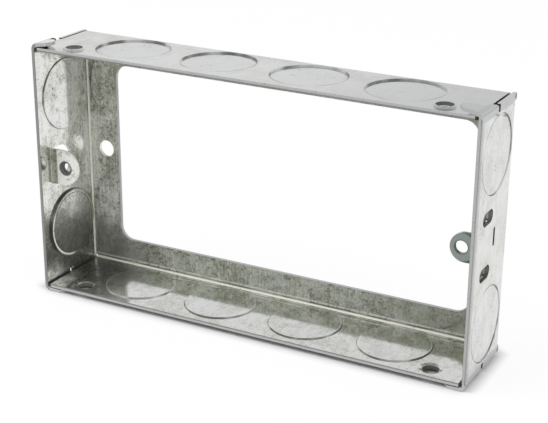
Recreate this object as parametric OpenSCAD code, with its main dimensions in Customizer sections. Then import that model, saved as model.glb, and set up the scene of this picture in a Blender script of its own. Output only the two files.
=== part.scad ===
// Socket extension box, two-gang: one folded galvanised steel sheet that
// deepens a wall box, with one lanced lug and one lug that slides in loops.
// X runs along the long side, +Y from the open rim to the back flange, +Z up.
// The origin is the centre of the box's footprint, level with its lowest tabs.

/* [Box] */
// Outside width, over the two short walls
box_w = 132; // [124:1:180]
// Outside height, over the two long walls
box_h = 72; // [70:1:90]
// Depth from the open rim to the back of the flange
box_d = 25; // [24:1:47]
// Thickness of the steel sheet
sheet_t = 1; // [0.8:0.1:1.2]
// Inside radius of every fold in the sheet
bend_r = 0.8; // [0.5:0.1:1]

/* [Back flange] */
// Width of the flange along the short walls
flange_side = 10; // [10:0.5:16]
// Width of the flange along the long walls
flange_long = 9; // [6:0.5:12]
// Corner radius of the large opening
opening_r = 4; // [2:0.5:8]
// Diameter of the two holes in the flange
flange_hole_d = 5; // [3.5:0.1:5]
// Height of the two holes above the middle
flange_hole_rise = 0.8; // [-1:0.1:1]
// How far the punched opening and holes sit off centre, along X
punch_shift = 1; // [-1:0.1:1]

/* [Knockouts] */
// Diameter of a knockout disc
ko_d = 20.5; // [16:0.5:20.5]
// Distance between knockouts along a long wall
ko_pitch = 27.2; // [24:0.1:30]
// From the outside of a long wall to a knockout of the wall with the lanced lug
ko_left_inset = 16.2; // [14:0.1:17]
// From the outside of a long wall to a knockout of the wall with the loops
ko_right_inset = 12.9; // [12.6:0.1:14]
// How far the knockouts sit behind the middle of the wall's depth
ko_set_back = 0.2; // [-0.2:0.1:0.4]
// How far a disc is sheared towards the inside
ko_push = 0.35; // [0.1:0.05:0.5]
// How far the discs of the wall with the loops are sheared towards the inside
ko_push_loops = 0.15; // [0.1:0.05:0.5]
// How far the one started disc is pushed towards the inside
ko_push_started = 0.7; // [0.4:0.05:0.75]

/* [Corner tabs] */
// How far the tip of a tab reaches over the long wall
tab_reach = 6.2; // [5.4:0.1:7]
// How far a tab's rear corner reaches over the long wall
tab_reach_rear = 4.6; // [3.5:0.1:5]
// Width of a tab at its rear corner, from the open rim
tab_w = 4.8; // [4:0.1:6]
// Cut at a tab's front corner
tab_nose = 1.3; // [0.5:0.1:1.6]
// Length of a tab where it folds off the short wall
tab_root = 11.4; // [9:0.1:12]
// Air between a tab's fold and the long wall
tab_gap = 0.2; // [0.1:0.05:0.4]
// How far an upper tab stays short of a square fold, in degrees
spring_top = 9; // [0:1:12]
// How far a lower tab stays short of a square fold, in degrees
spring_low = 1; // [0:1:12]
// Length of the relief notch behind a tab
relief_len = 1.2; // [0.6:0.1:2]
// Height of the relief notch
relief_h = 1.8; // [1.4:0.1:3]
// Seam between the walls beside the tabs
seam_front = 0.3; // [0.2:0.05:0.4]
// Seam between the walls behind the tabs
seam_rear = 0.7; // [0.3:0.05:1]

/* [Screw holes in the long walls] */
// Diameter of the four side screw holes
side_hole_d = 4.4; // [3:0.1:5]
// From the outside of a short wall to a side hole's centre
side_hole_inset = 11.3; // [10:0.1:13]
// From the open rim to a side hole's centre
side_hole_depth = 4.4; // [4:0.1:6]
// Width of the dimple round a side hole
dimple_d = 6.2; // [5.5:0.1:7]
// How far the dimple stands out of the wall
dimple_out = 0.4; // [0.2:0.05:0.6]

/* [Lugs] */
// From the outside of a short wall to the lug screw beside it
lug_inset = 5.7; // [5.5:0.1:5.7]
// From the open rim to the face of the lanced lug
lug_depth = 5; // [4:0.1:6]
// Width of the lanced lug
lug_w = 10.4; // [9:0.1:11.5]
// From the screw's centre to the tip of the lanced lug
lug_tip = 4.2; // [3.5:0.1:5]
// Bore of the lanced lug's thread
lug_bore_d = 2.9; // [2.5:0.1:3.2]
// Width of the screw's lead-in on the lanced lug
lug_entry_d = 4; // [3.6:0.1:4.4]
// Length of the drawn collar behind the lanced lug
collar_len = 0.7; // [0.4:0.1:1.5]
// Wall of the drawn collar
collar_wall = 0.7; // [0.5:0.1:1]

/* [Sliding lug] */
// Thickness of the sliding lug
slider_t = 1; // [0.8:0.1:1.2]
// From the open rim to the face of the sliding lug
slider_depth = 6.4; // [6:0.1:7]
// Width of the sliding lug's ear
slider_w = 8; // [7:0.1:8.8]
// From the screw's centre to the tip of the ear
slider_tip = 3.1; // [2.8:0.1:4]
// Bore of the sliding lug
slider_bore_d = 3.5; // [3:0.1:3.8]
// Height of the plate between the loops
slider_body_h = 9; // [8.9:0.1:9.1]
// From the open rim to the back end of the plate
slider_end = 13; // [12:0.1:13.2]
// Height over the two wings that run under the loops
slider_span = 16.6; // [16:0.1:16.8]
// Width of a wing, from front to back
wing_w = 3.4; // [2.8:0.1:3.6]
// Air round the sliding plate
slide_gap = 0.1; // [0.05:0.05:0.15]
// Height at which the sliding lug rests, from the middle of its travel
slider_rise = -0.5; // [-0.8:0.1:0.8]

/* [Loops and slit] */
// From the open rim to the front end of a loop
loop_start = 5.4; // [5:0.1:5.6]
// Length of a loop, from front to back
loop_len = 6.9; // [6.8:0.1:7.2]
// Width of a loop
loop_w = 3.5; // [3:0.1:4]
// From mid height to the middle of a loop
loop_offset = 7.55; // [7.5:0.05:7.7]
// Thickness of the drawn loop
loop_t = 0.9; // [0.7:0.05:1]
// From the open rim to the middle of the slit
slit_depth = 14.2; // [14:0.1:15]
// Length of the slit
slit_len = 5.2; // [4:0.1:6]
// Width of the slit
slit_w = 1.2; // [0.8:0.1:1.3]
// Height of the slit's middle above mid height
slit_rise = 0.8; // [-1:0.1:1]

/* [Hidden] */
$fn = 64;
// Overrun of every cut
over = 0.5;
// How much each face of a tab steps in where the rolled fold ends
tab_thin_share = 0.03;
tab_thin = sheet_t * tab_thin_share;
// Outside radius of a fold, and how far a tab stands out of the long wall
bend_out = bend_r + sheet_t;
function tab_tip_out(spring) = tab_gap + sheet_t * cos(spring)
    + (tab_reach - bend_out * (1 - sin(spring))) * tan(spring) - tab_thin / cos(spring);
tab_out = max(tab_gap + sheet_t, tab_tip_out(spring_low));
// Half sizes of the box, and the plane of its open rim
half_w = box_w / 2;
half_h = box_h / 2;
rim_y = -box_d / 2;
back_y = box_d / 2;
// Inner faces of the short and the long walls
in_x = half_w - sheet_t;
in_z = half_h - sheet_t;
// A lug screw's distance from the middle
screw_x = half_w - lug_inset;
// Room for knockouts between the side holes of a long wall, and how many fit
ko_room = box_w - 2 * side_hole_inset - dimple_d;
ko_count = floor((ko_room - ko_d) / ko_pitch) + 1;
// From the open rim to a knockout's centre
ko_depth = box_d / 2 + ko_set_back;
// How far a fold's legs and a loop's feet run into the sheet that they join
lap_share = 0.25;
lap = sheet_t * lap_share;
// Where a tab's rear edge enters the fold, as a share of the fold's width
tab_neck_share = 0.75;
// How far the flat of a tab runs into its fold, as a share of the fold's radius
tab_lap_share = 0.3;
// Planes of the sliding plate: outer and inner face
plate_x1 = in_x - slide_gap;
plate_x0 = plate_x1 - slider_t;
// Faces of the flat stretch of a loop
loop_x1 = plate_x0 - slide_gap;
loop_x0 = loop_x1 - loop_t;
// Ramps at both ends of a loop, as shares of its length
ramp_in_share = 0.14;
ramp_out_share = 0.22;
ramp_in = loop_len * ramp_in_share;
ramp_out = loop_len * ramp_out_share;

// Places a shape, drawn at the foot of the wall named by side, on all folds.
module lifted() translate([0, 0, half_h + tab_out]) children();

// Quarter ring of a fold: corner of the angle at the origin, legs along +X +Y.
module fold_ring(len) {
    rotate([90, 0, 0]) translate([0, 0, -len]) linear_extrude(len)
        intersection() {
            difference() {
                circle(bend_out);
                circle(bend_r);
            }
            translate([-bend_out, -bend_out]) square(bend_out);
        }
}

// Section of a fold with both legs in one outline: the ring about the origin,
// one leg down its left side, the other along its top to the right.
module fold2d(thick, leg_down, leg_right) {
    outside = bend_r + thick;
    intersection() {
        difference() {
            circle(outside);
            circle(bend_r);
        }
        translate([-outside, 0]) square(outside);
    }
    translate([-outside, -leg_down]) square([thick, leg_down]);
    translate([0, bend_r]) square([leg_right, thick]);
}

// Rounded slot outline, long in Y of its own plane.
module slot2d(len, w) {
    for (s = [-1, 1]) translate([0, s * (len - w) / 2]) circle(w / 2);
    square([w, len - w], center = true);
}

// Outline of a lug's ear: the round tip at the origin, the fold at len.
module ear2d(w, len) {
    translate([w / 2, -w / 2]) square([len - w / 2, w]);
    intersection() {
        translate([w / 2, 0]) circle(w / 2);
        translate([0, -w / 2]) square([w / 2, w]);
    }
}

// Outline of the back flange with its large opening, in X and Z.
module flange2d() {
    open_w = box_w - 2 * flange_side;
    open_h = box_h - 2 * flange_long;
    difference() {
        square([box_w - 2 * bend_out, box_h - 2 * bend_out], center = true);
        translate([punch_shift, 0]) {
            for (sx = [-1, 1], sz = [-1, 1])
                translate([sx * (open_w / 2 - opening_r), sz * (open_h / 2 - opening_r)])
                    circle(opening_r);
            square([open_w, open_h - 2 * opening_r], center = true);
            square([open_w - 2 * opening_r, open_h], center = true);
            for (sx = [-1, 1])
                translate([sx * screw_x, flange_hole_rise]) circle(flange_hole_d / 2);
        }
    }
}

module flange() {
    translate([0, back_y, 0]) rotate([90, 0, 0]) linear_extrude(sheet_t) flange2d();
}

// Bottom long wall with its fold into the flange.
module long_wall() {
    front_len = 2 * (in_x - seam_front);
    rear_len = 2 * (in_x - seam_rear);
    core_len = box_w - 2 * bend_out;
    rear_start = rim_y + tab_root;
    translate([-front_len / 2, rim_y, -half_h]) cube([front_len, tab_root, sheet_t]);
    translate([-rear_len / 2, rear_start, -half_h])
        cube([rear_len, back_y - bend_out - rear_start, sheet_t]);
    translate([-rear_len / 2, back_y - bend_out, -half_h + bend_out])
        rotate([0, 0, -90]) fold_ring(rear_len);
    translate([-core_len / 2, back_y - bend_out, -half_h + bend_out])
        rotate([90, 0, 90]) linear_extrude(core_len) rotate(180) fold2d(sheet_t, lap, lap);
}

// Right short wall with its fold into the flange.
module short_wall() {
    ring_h = box_h - 2 * bend_out;
    wall_len = box_d - bend_out;
    translate([in_x, rim_y, -half_h]) cube([sheet_t, wall_len, box_h]);
    translate([half_w - bend_out, back_y - bend_out, -ring_h / 2])
        linear_extrude(ring_h) mirror([1, 0]) fold2d(sheet_t, lap, lap);
    for (s = [-1, 1]) mirror([0, 0, s < 0 ? 1 : 0])
        translate([in_x, back_y - bend_out - over, half_h - bend_out])
            cube([sheet_t, bend_out + over - sheet_t / 2, bend_out]);
}

// Outline of a tab on the plan, from the short wall inwards.
module tab_plan() {
    tip_x = half_w - tab_reach;
    polygon([
        [half_w, rim_y],
        [tip_x + tab_nose, rim_y],
        [tip_x, rim_y + tab_nose],
        [tip_x, rim_y + tab_w / 2],
        [half_w - tab_reach_rear, rim_y + tab_w],
        [half_w - bend_out * tab_neck_share, rim_y + tab_w + bend_r],
        [half_w, rim_y + tab_root]
    ]);
}

// Section of a tab: down the short wall, round the fold, under the long wall.
module tab_section(spring) {
    far = 2 * bend_out;
    translate([half_w - bend_out, -half_h - tab_gap + bend_r * cos(spring)]) {
        intersection() {
            difference() {
                circle(bend_out);
                circle(bend_r);
            }
            polygon([
                [0, 0],
                [far, 0],
                [far, -far],
                [far * sin(spring), -far * cos(spring)]
            ]);
        }
        translate([bend_r, 0]) square([sheet_t, bend_out]);
        rotate(spring) translate([-tab_reach, -bend_out + tab_thin])
            square([tab_reach + bend_r * tab_lap_share, sheet_t - 2 * tab_thin]);
    }
}

// One corner tab, bottom right: folds off the short wall, under the long wall.
module corner_tab(spring) {
    reach_out = tab_gap + sheet_t + tab_tip_out(spring);
    intersection() {
        translate([0, 0, -half_h - reach_out])
            linear_extrude(reach_out + bend_out + over) tab_plan();
        translate([0, rim_y + tab_root, 0]) rotate([90, 0, 0])
            linear_extrude(tab_root) tab_section(spring);
    }
}

// Takes the square foot of the short wall away where the tab folds off, and
// opens the relief notch behind the tab.
module corner_cut(spring) {
    fold_z = -half_h - tab_gap + bend_r * cos(spring);
    translate([in_x - over, rim_y - over, -half_h - over])
        cube([sheet_t + 2 * over, tab_root + over, fold_z + half_h + over]);
    translate([in_x - over, rim_y + tab_root - over, -half_h - over])
        cube([sheet_t + 2 * over, relief_len + over, relief_h + over]);
}

// The pad that a half-sheared disc makes inside, drawn on a wall whose outside
// is z = 0 and whose inside is z = sheet_t.
module knockout_add(push) {
    translate([0, 0, sheet_t / 2]) cylinder(d = ko_d, h = sheet_t / 2 + push);
}

// The recess that the same disc leaves outside.
module knockout_cut(push) {
    translate([0, 0, -over]) cylinder(d = ko_d, h = over + push);
}

// Side screw hole: a dimple pressed outwards round a plain hole.
module side_hole_add() {
    translate([0, 0, -dimple_out])
        cylinder(d1 = side_hole_d + sheet_t, d2 = dimple_d, h = dimple_out);
}

module side_hole_cut() {
    translate([0, 0, -dimple_out - over])
        cylinder(d = side_hole_d, h = sheet_t + dimple_out + 2 * over);
    translate([0, 0, sheet_t - dimple_out])
        cylinder(d1 = side_hole_d, d2 = dimple_d, h = dimple_out);
    translate([0, 0, sheet_t]) cylinder(d = dimple_d, h = over);
}

// Puts children on the inside of each long wall, at places along X and depth.
module on_long_walls(xs, depth) {
    for (top = [0, 1], x = xs) mirror([0, 0, top])
        translate([x, rim_y + depth, -half_h]) children();
}

// Puts children on a short wall, their z pointing into the box.
module on_short_wall(side, z, depth) {
    mirror([side < 0 ? 1 : 0, 0, 0]) translate([half_w, rim_y + depth, z])
        rotate([0, -90, 0]) children();
}

function ko_places() = [for (i = [0:ko_count - 1]) (i - (ko_count - 1) / 2) * ko_pitch];

// Knockouts of a short wall, where they have room beside what fills its middle.
function ko_short_places(inset, middle) =
    [for (s = [-1, 1]) if (half_h - inset - ko_d / 2 > middle / 2) s * (half_h - inset)];
function ko_left_push(z) = z < 0 ? ko_push_started : ko_push;
function ko_left_places() = ko_short_places(ko_left_inset, lug_w);
function ko_right_places() = ko_short_places(ko_right_inset, 2 * loop_offset + loop_w);
function side_hole_places() = [for (s = [-1, 1]) s * (half_w - side_hole_inset)];

// Window that the lanced lug leaves in the left wall, and the lug itself.
module lug_window() {
    start = rim_y + lug_depth - bend_r;
    developed = PI / 2 * (bend_r + sheet_t / 2);
    window_len = developed + lug_tip + half_w - bend_out - screw_x;
    translate([-half_w - over, 0, 0]) rotate([90, 0, 90])
        linear_extrude(sheet_t + 2 * over) {
            translate([start, -lug_w / 2]) square([window_len - lug_w / 2, lug_w]);
            translate([start + window_len - lug_w / 2, 0]) circle(lug_w / 2);
        }
}

module fixed_lug() {
    face_y = rim_y + lug_depth;
    fold_x = -half_w + bend_out;
    tip_x = -screw_x + lug_tip;
    difference() {
        union() {
            intersection() {
                translate([fold_x, face_y - bend_r, -lug_w / 2]) linear_extrude(lug_w)
                    fold2d(sheet_t, lap, tip_x - fold_x);
                translate([0, face_y + bend_out, 0]) rotate([90, 0, 0])
                    linear_extrude(2 * bend_out + lap) translate([tip_x, 0])
                        mirror([1, 0]) ear2d(lug_w, tip_x + half_w + over);
            }
            translate([-screw_x, face_y + sheet_t + collar_len, 0]) rotate([90, 0, 0])
                cylinder(d = lug_bore_d + 2 * collar_wall, h = collar_len + sheet_t / 2);
        }
        translate([-screw_x, face_y - over, 0]) rotate([-90, 0, 0])
            cylinder(d = lug_bore_d, h = sheet_t + collar_len + 2 * over);
        translate([-screw_x, face_y, 0]) rotate([-90, 0, 0])
            cylinder(d1 = lug_entry_d, d2 = lug_bore_d, h = sheet_t / 2);
    }
}

// One loop drawn from the right wall: the sliding plate runs under it.
module loop_bridge() {
    y0 = rim_y + loop_start;
    y1 = y0 + loop_len;
    translate([0, 0, loop_offset - loop_w / 2]) linear_extrude(loop_w) polygon([
        [half_w, y0 - lap],
        [in_x, y0 - lap],
        [loop_x0, y0 + ramp_in],
        [loop_x0, y1 - ramp_in],
        [in_x, y1 + lap],
        [half_w, y1 + lap],
        [half_w, y1],
        [loop_x1, y1 - ramp_out],
        [loop_x1, y0 + ramp_out],
        [half_w, y0]
    ]);
}

module loop_window() {
    translate([in_x - over, rim_y + loop_start + loop_len / 2, loop_offset])
        rotate([90, 0, 90]) linear_extrude(sheet_t + 2 * over) rotate(90)
            slot2d(loop_len, loop_w);
}

module slit() {
    translate([in_x - over, rim_y + slit_depth, slit_rise]) rotate([90, 0, 90])
        linear_extrude(sheet_t + 2 * over) slot2d(slit_len, slit_w);
}

module box_shell() {
    color([0.80, 0.81, 0.80]) lifted() {
        difference() {
            union() {
                flange();
                for (top = [0, 1]) mirror([0, 0, top]) long_wall();
                for (side = [0, 1]) mirror([side, 0, 0]) difference() {
                    short_wall();
                    for (top = [0, 1]) mirror([0, 0, top])
                        corner_cut(top > 0 ? spring_top : spring_low);
                }
                on_long_walls(ko_places(), ko_depth) knockout_add(ko_push);
                on_long_walls(side_hole_places(), side_hole_depth) side_hole_add();
                for (z = ko_right_places())
                    on_short_wall(1, z, ko_depth) knockout_add(ko_push_loops);
                for (z = ko_left_places())
                    on_short_wall(-1, z, ko_depth) knockout_add(ko_left_push(z));
            }
            on_long_walls(ko_places(), ko_depth) knockout_cut(ko_push);
            on_long_walls(side_hole_places(), side_hole_depth) side_hole_cut();
            for (z = ko_right_places())
                on_short_wall(1, z, ko_depth) knockout_cut(ko_push_loops);
            for (z = ko_left_places())
                on_short_wall(-1, z, ko_depth) knockout_cut(ko_left_push(z));
            for (top = [0, 1]) mirror([0, 0, top]) loop_window();
            slit();
            lug_window();
        }
        for (side = [0, 1], top = [0, 1]) mirror([side, 0, 0]) mirror([0, 0, top])
            corner_tab(top > 0 ? spring_top : spring_low);
        for (top = [0, 1]) mirror([0, 0, top]) loop_bridge();
        fixed_lug();
    }
}

// Plate of the sliding lug in Y and Z: body between the loops, two wings.
module slider_plate2d() {
    fold_y = rim_y + slider_depth + bend_r + slider_t;
    end_y = rim_y + slider_end;
    wing_y = rim_y + loop_start + loop_len / 2 - wing_w / 2;
    corner = slider_t / 2;
    translate([fold_y, -slider_body_h / 2])
        square([end_y - fold_y - corner, slider_body_h]);
    translate([fold_y, -slider_body_h / 2 + corner])
        square([end_y - fold_y, slider_body_h - 2 * corner]);
    for (s = [-1, 1])
        translate([end_y - corner, s * (slider_body_h / 2 - corner)]) circle(corner);
    translate([wing_y, -slider_span / 2]) square([wing_w, slider_span]);
}

module sliding_lug() {
    fold_out = bend_r + slider_t;
    face_y = rim_y + slider_depth;
    fold_x = plate_x1 - fold_out;
    fold_y = face_y + fold_out;
    tip_x = screw_x - slider_tip;
    color([0.42, 0.45, 0.50]) lifted() translate([0, 0, slider_rise]) difference() {
        union() {
            translate([plate_x0, 0, 0]) rotate([90, 0, 90]) linear_extrude(slider_t)
                slider_plate2d();
            intersection() {
                translate([fold_x, fold_y, -slider_w / 2]) linear_extrude(slider_w)
                    rotate(180) fold2d(slider_t, lap, fold_x - tip_x);
                translate([0, fold_y + fold_out, 0]) rotate([90, 0, 0])
                    linear_extrude(2 * fold_out + over) translate([tip_x, 0])
                        ear2d(slider_w, plate_x1 - tip_x + over);
            }
        }
        translate([screw_x, face_y - over, 0]) rotate([-90, 0, 0])
            cylinder(d = slider_bore_d, h = slider_t + 2 * over);
    }
}

box_shell();
sliding_lug();
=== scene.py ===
"""Looks of a two-gang socket extension box: galvanised folded sheet, a plated sliding lug
and a plain studio."""

import bpy
from bpy.props import FloatProperty, FloatVectorProperty, PointerProperty
from mathutils import Matrix, Vector


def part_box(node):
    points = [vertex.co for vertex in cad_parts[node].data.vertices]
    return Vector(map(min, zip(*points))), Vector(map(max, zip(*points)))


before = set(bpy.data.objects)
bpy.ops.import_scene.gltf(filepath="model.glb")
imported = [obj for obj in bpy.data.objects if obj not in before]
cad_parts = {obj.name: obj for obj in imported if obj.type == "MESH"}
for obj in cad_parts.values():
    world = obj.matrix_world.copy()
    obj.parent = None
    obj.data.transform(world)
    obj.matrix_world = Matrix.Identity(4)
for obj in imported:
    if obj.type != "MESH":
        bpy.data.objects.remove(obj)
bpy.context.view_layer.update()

bl_info = {
    "name": "Socket Extension Box",
    "version": (1, 0, 0),
    "blender": (4, 5, 0),
    "location": "3D View > Sidebar > Extension Box",
    "description": "Galvanised and plated finishes and a studio for a socket extension box",
    "category": "Object",
}

MM = 0.001
SHELL_LOW, SHELL_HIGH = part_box("box_shell")
HALF_WIDTH = (SHELL_HIGH.x - SHELL_LOW.x) / 2
HALF_DEPTH = (SHELL_HIGH.y - SHELL_LOW.y) / 2
WHITE = (1, 1, 1)
SENSOR_WIDTH = 36
CLIP_START = 0.01


def length(name, description, default):
    """A property in metres."""
    return FloatProperty(name=name, description=description, default=default, unit="LENGTH")


def power(name, description, default):
    """A lamp's power in watts."""
    return FloatProperty(name=name, description=description, default=default, unit="POWER")


def colour(name, description, default):
    """A colour property."""
    return FloatVectorProperty(
        name=name, description=description, default=default, subtype="COLOR",
        min=0, max=1, size=3)


def location(name, description, default):
    """A place in metres."""
    return FloatVectorProperty(
        name=name, description=description, default=default, subtype="TRANSLATION",
        unit="LENGTH")


def share(name, description, default):
    """A property without a unit, from 0 to 1."""
    return FloatProperty(
        name=name, description=description, default=default, min=0, max=1, subtype="FACTOR")


class SheetSizes(bpy.types.PropertyGroup):
    """Sizes of the folded sheet that its finish follows."""

    wall_height: length("Height", "Outside height over the two long walls", 72 * MM)
    foot: length("Foot", "How far the lower tabs stand below the bottom wall", 1.247 * MM)
    sheet: length("Sheet", "Thickness of the sheet", 1 * MM)
    fold: length("Fold", "Inside radius of a fold", 0.8 * MM)
    opening_width: length("Opening width", "Width of the large opening", 112 * MM)
    opening_height: length("Opening height", "Height of the large opening", 54 * MM)
    opening_corner: length("Opening corner", "Corner radius of the large opening", 4 * MM)
    punch_shift: length("Punch shift", "How far the opening sits off centre", 1 * MM)
    side_hole: length("Side hole", "Diameter of a screw hole in a long wall", 4.4 * MM)
    side_hole_inset: length("Side hole inset", "From the outside to a side hole", 11.3 * MM)
    side_hole_depth: length("Side hole depth", "From the rim to a side hole", 4.4 * MM)
    lug_inset: length("Lug inset", "From the outside to the lug screw", 5.7 * MM)
    lug_depth: length("Lug depth", "From the rim to the lanced lug", 5 * MM)
    lug_entry: length("Lug lead-in", "Width of the lanced lug's countersink", 4 * MM)
    loop_start: length("Loop start", "From the rim to a loop", 5.4 * MM)
    loop_length: length("Loop length", "Length of a loop's window", 6.9 * MM)
    loop_width: length("Loop width", "Width of a loop's window", 3.5 * MM)
    loop_rise: length("Loop rise", "From mid height to a loop", 7.55 * MM)
    disc: length("Knockout", "Diameter of a knockout disc", 20.5 * MM)
    disc_pitch: length("Knockout pitch", "Between the knockouts of a long wall", 27.2 * MM)
    disc_set_back: length("Knockout set-back", "From mid depth to a knockout", 0.2 * MM)
    disc_left: length("Left knockouts", "From mid height to a left knockout", 19.8 * MM)
    disc_right: length("Right knockouts", "From mid height to a right knockout", 23.1 * MM)
    dent_slope: share("Dent slope", "Slant of the crease beside the upper tab", 0.279)


class SheetFinish(bpy.types.PropertyGroup):
    """Colours and wear of the galvanised sheet."""

    zinc: colour("Zinc", "Clean rolled zinc", (0.89, 0.895, 0.88))
    dull_zinc: colour("Dull zinc", "Clouded zinc between the clean patches", (0.52, 0.53, 0.44))
    # Also the colour of the painted shade on the started disc and of the darker right part of the
    # flange.
    stain_and_shade: colour("Stain", "Dark mottles inside the box", (0.22, 0.23, 0.19))
    # Darker zinc for the outer faces.
    darker_outer_zinc: colour("Outer zinc", "Weathered zinc on the outside", (0.53, 0.54, 0.54))
    # Painted highlight along the inner folds.
    fold_highlight: colour("Fold zinc", "Strained zinc on the folds", (0.93, 0.92, 0.82))
    # Painted reflection: the discs' bluer, darker tint stands in for the darker sky that their
    # tilt mirrors.
    disc_reflection_tint: colour("Disc zinc", "Bluer zinc of the knockout discs", (0.80, 0.82, 0.835))
    cut_edge: colour("Cut edge", "Matt steel of the sheared edges", (0.46, 0.46, 0.465))
    # Also the colour of the painted shade on the right wall's rounded front edge.
    dark_edge: colour("Torn edge", "Steel where the shear tore", (0.17, 0.17, 0.17))
    # Dark specks of grime; also the colour of the painted shade in lines, seams, holes and the
    # lower left corner.
    grime_and_shade: colour("Grime", "Dark specks and the line round a knockout", (0.045, 0.045, 0.04))
    burr: colour("Burr", "Bright sheared edge of a knockout disc", (0.72, 0.72, 0.71))
    # Painted light: the lanced lug's face, the started disc's crescent and the strips by the rear
    # folds are made this pale.
    lightened: colour("Rubbed lug", "Matt rubbed face of the lanced lug", (0.90, 0.90, 0.86))
    cloud: length("Cloud", "Size of the dull clouds", 7 * MM)
    mottle: length("Mottle", "Size of the fine mottle", 1.3 * MM)
    grain: length("Grain", "Size of the finest mottle", 0.55 * MM)
    streak: length("Streak", "Width of a rolling streak", 0.5 * MM)
    streak_run: length("Streak run", "Length of a rolling streak", 9 * MM)
    scratch: length("Scratch", "Width of a scratch", 0.22 * MM)
    scratch_run: length("Scratch run", "Length of a scratch", 6 * MM)
    speck: length("Speck", "Size of a dark speck", 0.6 * MM)
    # Width of the painted lines of shade, and of the crescent's highlight.
    line: length("Line", "Width of a grimy line", 0.2 * MM)
    cloud_relief: length("Cloud relief", "Height of the clouds", 0.02 * MM)
    mottle_relief: length("Mottle relief", "Height of the mottle", 0.004 * MM)
    streak_relief: length("Streak relief", "Height of the streaks", 0.0018 * MM)
    clean_outside: share("Clean outside", "How much cleaner the outer faces are", 0.4)
    stained: share("Stained", "How dark the mottles inside are", 0.62)
    # How far the outside of the long walls is darkened.
    outer_darkening: share("Outer soil", "How weathered the outside of the long walls is", 0.42)
    # Strength of the painted shade in the lower left inner corner.
    corner_shade: share("Corner soil", "How dark the lower left corner is", 0.55)
    smooth: share("Smooth", "Roughness of clean zinc", 0.08)
    rough: share("Rough", "Roughness of dull zinc", 0.2)
    flange_blur: share("Flange blur", "How much rougher the flange is", 0.03)
    splay: share("Splay", "Spring-back of the walls, as a slope", 0.045)
    disc_tilt: share("Disc tilt", "Largest tilt of a knockout disc, as a slope", 0.008)
    started_tilt: share("Started tilt", "Tilt of the started disc, as a slope", 0.1)


class LugFinish(bpy.types.PropertyGroup):
    """Colours and places of the plated sliding lug."""

    plating: colour("Plating", "Blue-grey plating", (0.74, 0.81, 0.88))
    worn: colour("Worn plating", "Plating rubbed on the flat", (0.80, 0.84, 0.92))
    dark: colour("Dark plating", "Plating at the rim and in the bore", (0.14, 0.145, 0.16))
    screw_x: length("Screw place", "From mid width to the lug's screw", 60.3 * MM)
    screw_height: length("Screw height", "From the floor to the lug's screw", 36.75 * MM)
    bore: length("Bore", "Diameter of the lug's bore", 3.5 * MM)
    ear: length("Ear", "Width of the lug's ear", 8 * MM)
    grain: length("Grain", "Size of the plating's grain", 1.1 * MM)
    relief: length("Relief", "Height of the grain", 0.004 * MM)
    satin: share("Satin", "Roughness of the plating", 0.36)
    uneven: share("Uneven", "How much the roughness varies", 0.15)
    flecked: share("Flecked", "How far the grain's tops are rubbed", 0.5)
    lightened: share("Rubbed", "How far the whole flat is rubbed", 0.3)
    edged: share("Edged", "How dark the rim and the bore are", 0.7)


class StudioLook(bpy.types.PropertyGroup):
    """Camera, floor, card and lamps."""

    camera_place: location("Camera place", "Where the camera stands", (0.1697, -0.3074, 0.16685))
    camera_forward: FloatVectorProperty(
        name="Camera forward", description="Direction that the camera looks in",
        default=(-0.421, 0.8279, -0.3707), subtype="DIRECTION")
    camera_up: FloatVectorProperty(
        name="Camera up", description="Direction of the picture's upper edge",
        default=(-0.1823, 0.3231, 0.9286), subtype="DIRECTION")
    lens: FloatProperty(
        name="Lens", description="Focal length on a 36 mm sensor", default=90.1,
        unit="CAMERA")
    shift_x: FloatProperty(name="Shift X", description="Sideways lens shift", default=-0.0575)
    shift_y: FloatProperty(name="Shift Y", description="Upward lens shift", default=0.0394)
    floor_white: share("Floor white", "How much of the floor is plain white", 0.9)
    floor_paint: share("Floor paint", "How pale the floor is in the shadow", 0.8)
    floor_dark: share("Floor dark", "How pale the floor is right beside the box", 0.05)
    floor_reach: length("Floor reach", "How far the floor reaches from the middle", 4.0)
    shade: share("Shade", "How strong the floor's shade beside the box is", 0.35)
    shade_shift: length("Shade shift", "How far it is moved to the left and the back", 2.5 * MM)
    shade_reach: length("Shade reach", "How far it reaches", 4 * MM)
    ambient: share("Ambient", "Strength of the studio's own light", 0.95)
    ceiling: share("Ceiling", "How much darker the mirrored ceiling is than the horizon", 0.35)
    mirrored_white: share("Mirrored white", "How bright the studio is in the metal", 0.88)
    card: colour("Card", "Grey card that the flange mirrors", (0.30, 0.315, 0.262))
    card_reach: length("Card reach", "How far the card reaches from the box", 0.9)
    card_gap: length("Card gap", "Between the card and the box", 2 * MM)
    card_lift: length("Card lift", "Between the card and the floor", 1 * MM)
    key_place: location("Key place", "Where the key lamp hangs", (-0.35, -0.25, 0.65))
    key_size: length("Key size", "Side of the key lamp", 0.5)
    key_power: power("Key power", "Power of the key lamp", 2.5)
    fill_place: location("Fill place", "Where the fill lamp hangs", (0.6, -0.2, 0.5))
    fill_size: length("Fill size", "Side of the fill lamp", 0.4)
    fill_power: power("Fill power", "Power of the fill lamp", 1.0)


def spread(place, unit, steps):
    """Places that lie those steps, of that unit, from a place."""
    return [place + unit * step for step in steps]


def forward(operation):
    """A method that runs an operation on a number and what follows it."""
    return lambda self, *others: self.math(operation, self, *others)


def backward(operation):
    """A method that runs an operation on what stands before a number and the number."""
    return lambda self, other: self.math(operation, other, self)


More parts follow.
